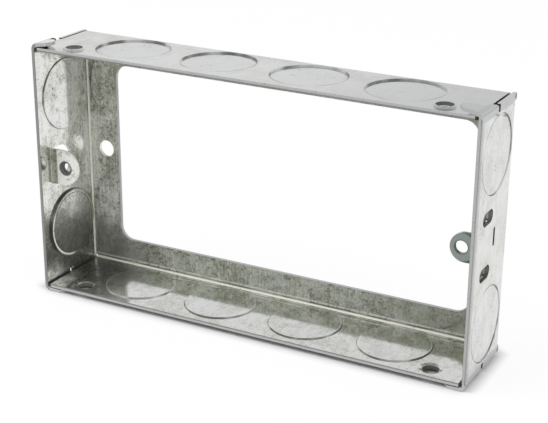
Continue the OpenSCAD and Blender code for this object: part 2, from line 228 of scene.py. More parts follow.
class Value:
    """A number socket that takes part in Python sums."""

    __add__, __radd__ = forward("ADD"), backward("ADD")
    __sub__, __rsub__ = forward("SUBTRACT"), backward("SUBTRACT")
    __mul__, __rmul__ = forward("MULTIPLY"), backward("MULTIPLY")
    __truediv__ = forward("DIVIDE")
    __pow__ = forward("POWER")
    __abs__ = forward("ABSOLUTE")
    __round__ = forward("ROUND")
    at_least = forward("MAXIMUM")
    at_most = forward("MINIMUM")
    sign = forward("SIGN")

    def __init__(self, nodes, socket):
        self.nodes = nodes
        self.socket = socket

    def math(self, operation, *terms):
        """The number that an operation gives."""
        node = self.nodes.add("ShaderNodeMath", {"operation": operation}, dict(enumerate(terms)))
        return Value(self.nodes, node.outputs[0])

    def rise(self, start, end):
        """0 up to start, 1 from end on, and smooth between."""
        node = self.nodes.add(
            "ShaderNodeMapRange", {"interpolation_type": "SMOOTHSTEP"},
            {"Value": self, "From Min": start, "From Max": end})
        return Value(self.nodes, node.outputs[0])

    def fall(self, start, end):
        """1 up to start, 0 from end on, and smooth between."""
        return 1 - self.rise(start, end)

    def between(self, start, full, hold, end):
        """1 from full to hold, 0 before start and after end, and smooth between."""
        return self.rise(start, full) * self.fall(hold, end)

    def halfway(self):
        """1 where a soft mask is half way up, and 0 at its ends."""
        return self * (1 - self) * 4

    def slant(self, other):
        """Distance to a point that lies this far along one side and other along the next."""
        return (self ** 2 + other ** 2) ** 0.5


class Nodes:
    """A node tree that is written from Python."""

    def __init__(self, tree):
        self.tree = tree
        tree.nodes.clear()

    def add(self, kind, settings=None, inputs=None):
        """A node of that kind, with its settings first and then its sockets."""
        node = self.tree.nodes.new(kind)
        for name, value in (settings or {}).items():
            setattr(node, name, value)
        for name, value in (inputs or {}).items():
            source = value.socket if isinstance(value, Value) else value
            if isinstance(source, bpy.types.NodeSocket):
                self.tree.links.new(source, node.inputs[name])
            else:
                node.inputs[name].default_value = source
        return node

    def parts(self, vector):
        """The three numbers of a vector or of a colour."""
        split = self.add("ShaderNodeSeparateXYZ", None, {0: vector})
        return [Value(self, output) for output in split.outputs]

    def vector(self, x, y, z):
        """A vector from three numbers."""
        node = self.add("ShaderNodeCombineXYZ", None, {"X": x, "Y": y, "Z": z})
        return node.outputs[0]

    def vector_math(self, operation, inputs):
        """The vector that an operation gives."""
        return self.add("ShaderNodeVectorMath", {"operation": operation}, inputs).outputs[0]

    def noise(self, vector, detail=2.0, roughness=0.5, distortion=0.0):
        """Smooth noise from 0 to 1, one period to each unit of the vector."""
        node = self.add("ShaderNodeTexNoise", {"noise_dimensions": "3D"}, {
            "Vector": vector, "Scale": 1.0, "Detail": detail, "Roughness": roughness,
            "Distortion": distortion})
        return Value(self, node.outputs["Fac"])

    def mix(self, factor, first, second):
        """A colour between two others."""
        node = self.add(
            "ShaderNodeMix", {"data_type": "RGBA"},
            {0: factor, 6: opaque(first), 7: opaque(second)})
        return node.outputs[2]

    def shaders(self, factor, pair):
        """A shader between two others."""
        return self.add(
            "ShaderNodeMixShader", None, {0: factor, 1: pair[0].outputs[0], 2: pair[1].outputs[0]})


def opaque(tint):
    """A colour for a socket: three numbers get an alpha of 1, and a link stays."""
    if isinstance(tint, bpy.types.NodeSocket):
        return tint
    return (*tint, 1.0)


def new_material(name):
    """An empty material and its nodes."""
    material = bpy.data.materials.new(name)
    material.use_nodes = True
    return material, Nodes(material.node_tree)


def finish_surface(nodes, shader):
    """Ends the tree in one surface shader."""
    nodes.add("ShaderNodeOutputMaterial", None, {"Surface": shader})


# Soft masks, each by where it starts and ends, from the face or edge that its method names.
# In sheet thicknesses:
OUTER_SKIN = (-0.7, -0.3)
INNER_SKIN = (-0.95, -0.8)
INNER_LEFT = (0.55, 0.7)
FOLD_START = (-0.1, 0)
WALL_SPARE = 0.75
NOTCH_SIDE = (-2, -1.8)
SHEEN_DEPTH = (-4.4, -3.6)
CREASE_DEPTH = (-1.2, -0.9, -0.7)
LUG_BAND = (-1, -0.5, 1.8, 2)
LUG_ROOT = (1, 1.2)
SLIT_DEPTH = (0.8, 0.9, 2.5, 2.6)
SLIT_LEVEL = (3.2, 3.3)
SLIT_SKIN = (-0.98, -0.96, -0.05, -0.02)
LOOP_CUT = (-1, -0.95)
LOOP_DEPTH = (-2.6, -2.47)
DENT_TOP = 0.66
DENT_ENDS = (1, 4, 17, 21)
DENT_SKIN = (-0.25, -0.125)
TAB_OVER = (0.1, 0.2)
TAB_END = (-3.2, -3)
RIM = (0.02, 0.04)
LEFT_RIM = (1.2, 1.5)
TORN_SKIN = (-0.75, -0.6)
TORN_RIGHT = (-0.4, -0.2)
TORN_END = (-1, -0.9)
EDGE_SHADE_DEPTH = (0.2, 2.6)
OPENING_EDGE = (1 / 48, 1 / 12)
OPENING_DEPTH = (-13 / 12, -1)
# In widths of a painted line, dark for shade and bright for the crescent's highlight:
SEAM_SIDE = (-5, -4, 0.2, 0.5)
SEAM_LEVEL = (-3, -1)
LAP_START = (0, 0.25)
LAP_END = (-0.5, -0.1)
BEHIND_RIM = (0.5, 1)
BEFORE_BACK = (-1, -0.5)
CREASE = (0.5, 1.3)
DENT = (0.5, 1.5)
CRESCENT = (-5, -4, -2.2, -1.4)
# In radii of the hole, the fold or the knockout:
SIDE_HOLE_LIP = (1.04, 1.16)
LUG_HOLE_LIP = (1.02, 1.15)
LUG_FLAT = (1, 1.5)
RIDGE_PLACE = 0.8
RIDGE = (0.25, 0.5)
CRESCENT_START = (0.3, 0.6)
# In widths of the lug's countersink, and of a loop:
LUG_LEVEL = (2.5, 2.6)
LOOP_EDGE = (0.52, 0.55)
LOOP_BELOW = (-0.4, -0.3)
# In half widths of the box:
LUG_TIP = (-0.8, -0.78)
CLEAN_START = (-0.8, -0.6)
LEFT_FLANGE = (-0.8, -0.7)
RIGHT_PART = (0.3, 0.8)
# In metres, from the middle of the box:
MIDDLE = (-MM, MM)
FRONT = (-2 * MM, 5 * MM)
REAR = (-3 * MM, 4 * MM)
REAR_RISE = (-12 * MM, 0)
LEFT_FALL = (-14 * MM, -2 * MM)
SHEEN_MIDDLE = -2 * MM
SHEEN_LEVEL = (3 * MM, 7 * MM)
DISC_FOOT = (-23 * MM, -14 * MM)
# Painted shade of the lower left corner, in metres from the corner:
CORNER_SHADE_RAGGED = 4 * MM
CORNER_SHADE_SPREAD = 9 * MM
CORNER_SHADE_PALE = (4 * MM, 9 * MM)
CORNER_SHADE_PALE_FRONT = (-7 * MM, -4 * MM)
CORNER_SHADE_WALLS = (9 * MM, 27 * MM)
CORNER_SHADE_FLANGE = (9 * MM, 18 * MM)
CORNER_SHADE_FLANGE_SIDE = (8 * MM, 28 * MM)
# Strengths, directions, and numbers that tell the walls and the knockouts apart:
NOTCH_DARKNESS = 0.7
RIDGE_STRENGTH = 0.8
SHEEN_STRENGTH = (0.2, 0.6)
UPRIGHT = (0.3, 0.5)
CRESCENT_LEAN = (0.5, 0.85)
WALL_STEP = 5
SHORT_WALL_NAME = 3
LAST_SLOT = 1.5


class SheetPlaces:
    """Where a point of the sheet lies: its wall and its place on it, in metres."""

    def __init__(self, nodes, sizes):
        self.nodes = nodes
        self.sizes = sizes
        self.top = sizes.wall_height / 2
        self.bend = sizes.sheet + sizes.fold
        here = nodes.add("ShaderNodeTexCoord").outputs["Object"]
        self.x, self.y, upwards = nodes.parts(here)
        self.height = upwards - (sizes.foot + self.top)
        self.left = self.x.fall(*MIDDLE)
        self.before_fold = self.y.fall(*self.under(HALF_DEPTH - self.bend, FOLD_START))
        spare = self.before_fold * (sizes.sheet * WALL_SPARE)
        self.long_wall = (abs(self.height) + spare).rise(
            self.top - self.bend, self.top - sizes.sheet)
        beside = (abs(self.x) + spare).rise(HALF_WIDTH - self.bend, HALF_WIDTH - sizes.sheet)
        self.short_wall = beside * (1 - self.long_wall)
        self.behind = self.y.rise(HALF_DEPTH - self.bend, HALF_DEPTH - sizes.sheet)
        self.flange = self.behind * (1 - self.long_wall) * (1 - beside)
        self.inner_left = self.short_wall * self.left * self.x.rise(
            *self.under(-HALF_WIDTH, INNER_LEFT))
        self.across = self.x + (self.y - self.x) * self.short_wall
        self.along = self.height + (self.y - self.height) * self.long_wall
        self.wall = self.long_wall * self.height.sign() \
            + self.short_wall * self.x.sign() * SHORT_WALL_NAME
        self.find_disc()

    def find_disc(self):
        """Finds the nearest knockout: the way to its centre and its edge, and its name."""
        sizes = self.sizes
        slot = round(self.x / sizes.disc_pitch + 0.5) - 0.5
        slot = slot.at_least(-LAST_SLOT).at_most(LAST_SLOT)
        aside_long = self.x - slot * sizes.disc_pitch
        rise = sizes.disc_right + (sizes.disc_left - sizes.disc_right) * self.left
        aside_short = abs(self.height) - rise
        self.disc_aside = aside_short + (aside_long - aside_short) * self.long_wall
        self.disc_inwards = self.y - sizes.disc_set_back
        off_wall = 1 - self.long_wall.at_least(self.short_wall)
        self.beyond_disc = self.disc_aside.slant(self.disc_inwards) + off_wall - sizes.disc / 2
        self.disc_name = self.long_wall * slot + self.short_wall * self.height.sign()

    def under(self, face, steps):
        """Places that lie those sheet thicknesses from a face."""
        return spread(face, self.sizes.sheet, steps)

    def scaled(self, size):
        """The place, with that size as one unit."""
        here = self.nodes.vector(self.x, self.y, self.height)
        return self.nodes.vector_math("SCALE", {0: here, "Scale": 1 / size})

    def streaked(self, width, run, slant=0.0):
        """The place along the roll, with a streak's width and run as units."""
        across = self.across + self.along * slant
        along = self.along - self.across * slant
        return self.nodes.vector(across / width, along / run, self.wall * WALL_STEP + slant)

    def outside(self):
        """The outer faces of the walls and of the flange."""
        beyond = abs(self.x).rise(*self.under(HALF_WIDTH, OUTER_SKIN))
        beyond = beyond.at_least(abs(self.height).rise(*self.under(self.top, OUTER_SKIN)))
        return beyond.at_least(self.y.rise(*self.under(HALF_DEPTH, OUTER_SKIN)))

    def inside(self):
        """The inner faces of the walls and of the flange."""
        within = abs(self.x).fall(*self.under(HALF_WIDTH, INNER_SKIN))
        within = within * self.y.fall(*self.under(HALF_DEPTH, OUTER_SKIN))
        return within * abs(self.height).fall(*self.under(self.top, INNER_SKIN))

    def seam(self, line):
        """Painted shade in the seam inside a corner, between a long and a short wall."""
        inner_x = HALF_WIDTH - self.sizes.sheet
        level = abs(self.height).rise(*spread(self.top - self.sizes.sheet, line, SEAM_LEVEL))
        level = level * abs(self.height).fall(*spread(self.top, line, LAP_END))
        beside = abs(self.x).between(*spread(inner_x, line, SEAM_SIDE)) * self.before_fold
        lap = abs(self.x).rise(*spread(inner_x, line, LAP_START))
        lap = lap * abs(self.x).fall(*spread(HALF_WIDTH, line, LAP_END))
        lap = lap * self.y.rise(*spread(-HALF_DEPTH, line, BEHIND_RIM))
        notch = abs(self.x).rise(*self.under(HALF_WIDTH, NOTCH_SIDE)) * NOTCH_DARKNESS
        notch = notch * (1 - self.before_fold)
        notch = notch * self.y.fall(*spread(HALF_DEPTH, line, BEFORE_BACK))
        return level * beside.at_least(lap).at_least(notch)

    def painted_sheen(self):
        """Painted reflection: pale strips beside the rear folds."""
        fold = self.sizes.fold
        level = abs(abs(self.height) - (self.top - self.bend - fold * RIDGE_PLACE))
        ridge = level.fall(*spread(0, fold, RIDGE)) * self.flange * RIDGE_STRENGTH
        beside = self.y.rise(*self.under(HALF_DEPTH, SHEEN_DEPTH))
        beside = beside * self.left * self.short_wall * self.inside() * (1 - self.behind)
        bright = abs(self.height - SHEEN_MIDDLE).fall(*SHEEN_LEVEL)
        weak, strong = SHEEN_STRENGTH
        return ridge.at_least(beside * (weak + strong * bright))

    def crease(self, line):
        """Painted shade: the thin dark line along each inner fold."""
        width = spread(0, line, CREASE)
        start = HALF_DEPTH - self.bend
        low = abs(abs(self.height) - (self.top - self.bend)).fall(*width)
        low = low * self.y.between(start, *self.under(HALF_DEPTH, CREASE_DEPTH))
        side = abs(self.y - start).fall(*width) * self.short_wall
        return low.at_least(side * self.inside())

    def side_hole_edge(self):
        """The wall and the lip of the screw holes in the long walls."""
        sizes = self.sizes
        aside = abs(self.x) - (HALF_WIDTH - sizes.side_hole_inset)
        inwards = self.y + HALF_DEPTH - sizes.side_hole_depth
        lip = spread(0, sizes.side_hole / 2, SIDE_HOLE_LIP)
        return aside.slant(inwards).fall(*lip) * self.long_wall

    def on_lanced_lug(self):
        """The lug that is lanced out of the left wall."""
        front = self.sizes.lug_depth - HALF_DEPTH
        band = self.y.between(*self.under(front, LUG_BAND))
        level = abs(self.height).fall(*spread(0, self.sizes.lug_entry, LUG_LEVEL))
        reach = self.x.between(*self.under(-HALF_WIDTH, LUG_ROOT),
                               *spread(0, HALF_WIDTH, LUG_TIP))
        return band * level * reach

    def started(self):
        """The inner side of the knockout that has been started, on the left wall."""
        return self.inner_left * self.height.fall(*MIDDLE)

    def crescent(self, line):
        """Painted highlight along the raised edge of the started disc, at its front and foot."""
        aside, inwards = CRESCENT_LEAN
        towards = self.disc_aside * aside - self.disc_inwards * inwards
        start = towards.rise(*spread(0, self.sizes.disc / 2, CRESCENT_START))
        edge = self.beyond_disc.between(*spread(0, line, CRESCENT))
        return edge * start * self.started()

    def slit(self):
        """The inside of the slit between the loops."""
        near = self.y.between(*self.under(0, SLIT_DEPTH))
        near = near * abs(self.height).fall(*self.under(0, SLIT_LEVEL))
        return near * self.x.between(*self.under(HALF_WIDTH, SLIT_SKIN))

    def lug_hole_edge(self):
        """The countersink and the bore of the lanced lug."""
        aside = self.x + HALF_WIDTH - self.sizes.lug_inset
        lip = spread(0, self.sizes.lug_entry / 2, LUG_HOLE_LIP)
        return aside.slant(self.height).fall(*lip) * self.on_lanced_lug()

    def lug_face(self):
        """The flat of the lanced lug."""
        flat = spread(self.bend - HALF_WIDTH, self.sizes.fold, LUG_FLAT)
        return self.x.rise(*flat) * self.on_lanced_lug()

    def loop_hollow(self):
        """The outside of the two loops, down in their windows."""
        sizes = self.sizes
        middle = sizes.loop_start + sizes.loop_length / 2 - HALF_DEPTH
        straight = (sizes.loop_length - sizes.loop_width) / 2
        aside = (abs(self.y - middle) - straight).at_least(0)
        upwards = abs(self.height) - sizes.loop_rise
        hollow = aside.slant(upwards).fall(*spread(0, sizes.loop_width, LOOP_EDGE))
        below = (self.height.sign() * upwards).fall(*spread(0, sizes.loop_width, LOOP_BELOW))
        cut = self.x.rise(*self.under(HALF_WIDTH, LOOP_CUT))
        return hollow * below.at_least(cut) * self.x.rise(*self.under(HALF_WIDTH, LOOP_DEPTH))

    def dent(self, line):
        """The slanting crease that folding the upper tab left on the right wall, with painted
        shade along it.
        """
        depth = self.y + HALF_DEPTH
        level = self.top + self.sizes.sheet * DENT_TOP - depth * self.sizes.dent_slope
        near = abs(self.height - level).fall(*spread(0, line, DENT))
        near = near * depth.between(*self.under(0, DENT_ENDS))
        return near * self.x.rise(*self.under(HALF_WIDTH, DENT_SKIN))

    def dark_corner(self):
        """Painted shade in the inner corner at the lower left."""
        aside = self.x + HALF_WIDTH
        upwards = self.height + self.top
        ragged = (self.nodes.noise(self.scaled(CORNER_SHADE_RAGGED)) - 0.5) * CORNER_SHADE_SPREAD
        away = aside.slant(upwards) + ragged
        pale = away.fall(*CORNER_SHADE_PALE) * self.y.fall(*CORNER_SHADE_PALE_FRONT)
        darkened = away.fall(*CORNER_SHADE_WALLS) * (1 - self.flange)
        low = (upwards + ragged).fall(*CORNER_SHADE_FLANGE) * aside.fall(*CORNER_SHADE_FLANGE_SIDE)
        return darkened.at_least(low * self.flange) * (1 - pale) * self.inside()

    def tab_edge(self):
        """The sheared edges of the tabs that are folded over the long walls."""
        facing = self.nodes.add("ShaderNodeNewGeometry").outputs["Normal"]
        upright = abs(self.nodes.parts(facing)[2]).fall(*UPRIGHT)
        over = abs(self.height).rise(*self.under(self.top, TAB_OVER))
        return over * upright * abs(self.x).fall(*self.under(HALF_WIDTH, TAB_END))

    def rim(self):
        """The sheared edge of the walls, on the open side."""
        return self.y.fall(*self.under(-HALF_DEPTH, RIM))

    def dark_edge(self):
        """The darker part of the sheared rim, at the inner side of each wall."""
        within_x = abs(self.x).fall(*self.under(HALF_WIDTH, TORN_SKIN))
        within_z = abs(self.height).fall(*self.under(self.top, TORN_SKIN))
        right = self.x.rise(*self.under(HALF_WIDTH, TORN_RIGHT))
        before = self.x.fall(*self.under(HALF_WIDTH, TORN_END))
        within_x = within_x.at_least(right) * before + right
        return self.rim() * (within_x * within_z).at_most(1)

    def left_rim(self):
        """The rim of the left wall."""
        return self.rim() * self.x.fall(*self.under(-HALF_WIDTH, LEFT_RIM))

    def edge_shade(self):
        """Painted shade on the rounded outer edge of the right wall, at the open side."""
        near = self.y.fall(*self.under(-HALF_DEPTH, EDGE_SHADE_DEPTH))
        return self.outside() * self.short_wall * (1 - self.left) * near

    def fold(self):
        """The folds between the flange and the walls."""
        long_fold = self.long_wall.halfway() * (1 - self.before_fold)
        return long_fold.at_least(self.behind.halfway() * self.short_wall)

    def opening_edge(self):
        """The sheared edge of the large opening."""
        sizes = self.sizes
        corner = sizes.opening_corner
        out_x = abs(self.x - sizes.punch_shift) - (sizes.opening_width / 2 - corner)
        out_z = abs(self.height) - (sizes.opening_height / 2 - corner)
        reach = out_x.at_least(0).slant(out_z.at_least(0))
        behind = self.y.rise(*self.under(HALF_DEPTH, OPENING_DEPTH))
        return reach.fall(*self.under(corner, OPENING_EDGE)) * behind

    def front(self):
        """The front of every wall, near the rim."""
        return self.y.fall(*FRONT)

    def clean_front(self):
        """The front of the long walls, away from the left corner."""
        return self.long_wall * self.front() * self.x.rise(
            *spread(0, HALF_WIDTH, CLEAN_START))

    def left_flange(self):
        """The lower part of the flange, beside the left wall."""
        left = self.x.fall(*spread(0, HALF_WIDTH, LEFT_FLANGE))
        return left * self.height.fall(*LEFT_FALL)

    def right_part(self):
        """0 up to the middle of the box, 1 at its right end."""
        return self.x.rise(*spread(0, HALF_WIDTH, RIGHT_PART))

    def left_rear(self):
        """The upper rear of the left wall's inner face."""
        rear = self.short_wall * self.inside() * self.left
        return rear * self.y.rise(*REAR) * self.height.rise(*REAR_RISE)

    def disc_foot(self):
        """1 at the foot of the lower knockouts, 0 from their middle up."""
        return self.height.fall(*DISC_FOOT)


# Masks on the sliding lug's ear, in bores, in millimetres from its edge, and in its width:
EAR_RUBBED_START = (0.55, 0.8)
EAR_BORE = (0.52, 0.6)
EAR_RUBBED_END = (-1, -0.3)
EAR_EDGE = (-0.25, -0.1)
EAR_LOW = (-0.7, 0.5)
# Levels of noise between which each pattern fades in:
CLOUDS = (0.36, 0.64)
MOTTLES = (0.36, 0.68)
SCRATCHES = (0.7, 0.78)
STAINS = (0.53, 0.63)
STAINED_CLOUDS = (0.36, 0.56)
SPECKS = (0.67, 0.74)
SPECKLED_CLOUDS = (0.45, 0.6)
RAGGED = (0.35, 0.6)
SHADE_MOTTLES = (0.42, 0.58)
SHEEN_MOTTLES = (0.45, 0.65)
PALE_PATCHES = (0.38, 0.56)
PALE_WEIGHTS = (0.35, 0.35, 0.3)
RUBBED_GRAINS = (0.45, 0.75)
# How much broader and longer a broad streak is, and how far the scratches slant:
BROAD_STREAK = (4, 1.5)
SCRATCH_SLANT = 0.6
# Lines round a knockout, in line widths from its edge, and the width of the dent's; RING, STEP,
# OUTLINE and SHADE_LINE place painted shade:
RING = (-0.5, 0, 0.8, 1.6)
STEP = (0.2, 0.3)
OUTLINE = (-1.4, -1, 0.6, 1.6)
SHADE_LINE = (-6, -5.4, -5, -4.4)
BURR = (-2.2, -1.4, -1, 0)
DISC_EDGE = (-1, 0)
TILT_EDGE = (-0.5, 0)
DENT_LINES = 1.5
# How the started disc's tilt is shared between its front and its foot, and the tilts' seed:
STARTED_LEAN = (0.6, 0.8)
TILT_SEED = 0.5
# Limits of the roughness:
SMOOTHEST = 0.06
ROUGHEST = 0.5
# Contrasts in the zinc's dullness, and how much less dull or stained it is in places:
CLOUD_SHARE = 0.6
BROAD_STREAKS = 1.1
STREAKS = 1.3
GRAIN_INSIDE = 2.2
GRAIN_OUTSIDE = 0.6
BRIGHTENING = 0.1
CLEANER_FRONT = 0.45
UNSTAINED_FRONT = 0.8
UNSTAINED_SIDES = 0.4
UNSTAINED_OUTSIDE = 0.8
# How strong each mark is, from 0 to 1 but for FOLD_WIDTH and the outer darkening:
FOLD_WIDTH = 2.5
# Shares of the discs' painted reflection tint:
DISC_REFLECTION_INSIDE = 0.2
DISC_REFLECTION_OUTSIDE = 0.5
SHORT_WALLS_DARKENING = 0.4
LEFT_DARKENING = 0.9
RIGHT_DARKENING = 1.3
INNER_BURR = 0.25
EDGE_BURR = 0.8
SCRATCHED_LUG = 0.2
DARKENING = 0.72
DISC_SHADE = 0.5
FOOT_SHADE = 0.4
EVEN_SHADE = 0.35
RIGHT_FLANGE_DARKENING = 0.25
EVEN_SHEEN = 0.6
EDGE_SHADE = 0.55
TORN = 0.8
UNTORN_RIGHT = 0.35
TORN_LEFT = 0.6
DARK_SPECKS = 0.8
UNEVEN = 0.4
DARK_RING = 0.45
DARK_STEP = 0.75
DARK_OUTLINE = 0.55
DARK_CREASE = 0.35
DARK_DENT = 0.7
# Painted shade in the screw holes, the lug's countersink, the loops and the slit.
DARK_HOLLOWS = ((SheetPlaces.side_hole_edge, 0.8), (SheetPlaces.lug_hole_edge, 0.9),
                (SheetPlaces.loop_hollow, 0.85), (SheetPlaces.slit, 0.9))
# Where the zinc mirrors less:
FLANGE_SATIN = 0.17
LOWER_LEFT_SATIN = 1.6
LEFT_REAR_SATIN = 0.42
FOLD_SATIN = 0.75
PALE_SATIN = 0.15
LESS_PALE = 0.7
SHEEN_SATIN = 0.7
CRESCENT_SATIN = 0.85
MATT = 0.75
# What is added to the roughness:
SCRATCH_BLUR = 0.12
FOLD_BLUR = 0.08
DISC_BLUR = 0.14
CORNER_BLUR = 0.12


def sheet_wear(nodes, at, finish):
    """How dull the zinc is, from 0 to 1 and a little past, and its fine streaks and scratches."""
    cloud = nodes.noise(at.scaled(finish.cloud), detail=3, roughness=0.55, distortion=0.4)
    mottle = nodes.noise(at.scaled(finish.mottle), detail=4, roughness=0.65, distortion=0.8)
    streak = nodes.noise(at.streaked(finish.streak, finish.streak_run), detail=3, roughness=0.65)
    wider, longer = BROAD_STREAK
    broad_streak = nodes.noise(at.streaked(finish.streak * wider, finish.streak_run * longer))
    scratches = nodes.noise(
        at.streaked(finish.scratch, finish.scratch_run, SCRATCH_SLANT), detail=1)
    scratches = scratches.rise(*SCRATCHES)
    dullness = (cloud.rise(*CLOUDS) * CLOUD_SHARE + mottle.rise(*MOTTLES) * (1 - CLOUD_SHARE)
                + (broad_streak - 0.5) * BROAD_STREAKS + (streak - 0.5) * STREAKS)
    dullness = (dullness - BRIGHTENING) * (1 - at.outside() * finish.clean_outside)
    relief = (cloud * finish.cloud_relief + mottle * finish.mottle_relief
              + streak * finish.streak_relief + scratches * finish.streak_relief)
    stains = mottle.rise(*STAINS) * cloud.rise(*STAINED_CLOUDS)
    stains = stains * (1 - at.outside() * UNSTAINED_OUTSIDE)
    return dullness, scratches, stains, mottle, streak, relief


def sheet_grime_and_shade(nodes, at, finish):
    """Dark specks of grime, and painted shade in dark lines round discs, in holes, along folds and
    seams, from 0 to 1.
    """
    line = finish.line
    edge = at.beyond_disc
    specks = nodes.noise(at.scaled(finish.speck), detail=1).rise(*SPECKS)
    specks = specks * nodes.noise(at.scaled(finish.cloud), detail=1).rise(*SPECKLED_CLOUDS)
    ragged = nodes.noise(at.scaled(finish.cloud), detail=1).rise(*RAGGED)
    uneven = ragged * UNEVEN
    # Painted shade in the groove and on the step round each knockout.
    step = abs(edge).fall(*spread(0, line, STEP))
    ring = edge.between(*spread(0, line, RING)) * (1 - step) * (DARK_RING + uneven)
    step = step * (1 - at.started()) * ragged * DARK_STEP
    # Painted shade round the started disc: its outline and the shadow line of its raised edge.
    outline = edge.between(*spread(0, line, OUTLINE)).at_least(
        edge.between(*spread(0, line, SHADE_LINE)))
    outline = outline * at.started() * (DARK_OUTLINE + uneven)
    # Painted shade along the inner folds and the dent.
    crease = at.crease(line) * (DARK_CREASE + uneven)
    dent = at.dent(line * DENT_LINES) * ragged * DARK_DENT
    hollows = [mask(at) * darkness for mask, darkness in DARK_HOLLOWS]
    grime_and_shade = specks * DARK_SPECKS
    for mark in (ring, step, outline, crease, dent, at.seam(line), *hollows):
        grime_and_shade = grime_and_shade.at_least(mark)
    return grime_and_shade


def leaning_normal(nodes, at, finish):
    """The surface's normal, where each wall springs out a little and each disc tilts."""
    facing = nodes.add("ShaderNodeNewGeometry").outputs["Normal"]
    facing_x, _, facing_z = nodes.parts(facing)
    on_disc = at.beyond_disc.fall(*spread(0, finish.line, TILT_EDGE))
    on_disc = on_disc * (1 - at.crescent(finish.line))
    lean = (at.long_wall * facing_z * at.height.sign()
            + at.short_wall * facing_x * at.x.sign()) * finish.splay
    chance = nodes.add(
        "ShaderNodeTexWhiteNoise", {"noise_dimensions": "3D"},
        {"Vector": nodes.vector(at.disc_name, at.wall, TILT_SEED)}).outputs["Color"]
    tilt = on_disc * (finish.disc_tilt * 2)
    lean_x, lean_y, lean_z = ((part - 0.5) * tilt for part in nodes.parts(chance))
    started = on_disc * at.started() * facing_x * finish.started_tilt
    forward, down = STARTED_LEAN
    lean_y = lean_y + lean - started * forward
    lean_z = lean_z - started * down
    tilted = nodes.vector_math("ADD", {0: facing, 1: nodes.vector(lean_x, lean_y, lean_z)})
    return nodes.vector_math("NORMALIZE", {0: tilted})


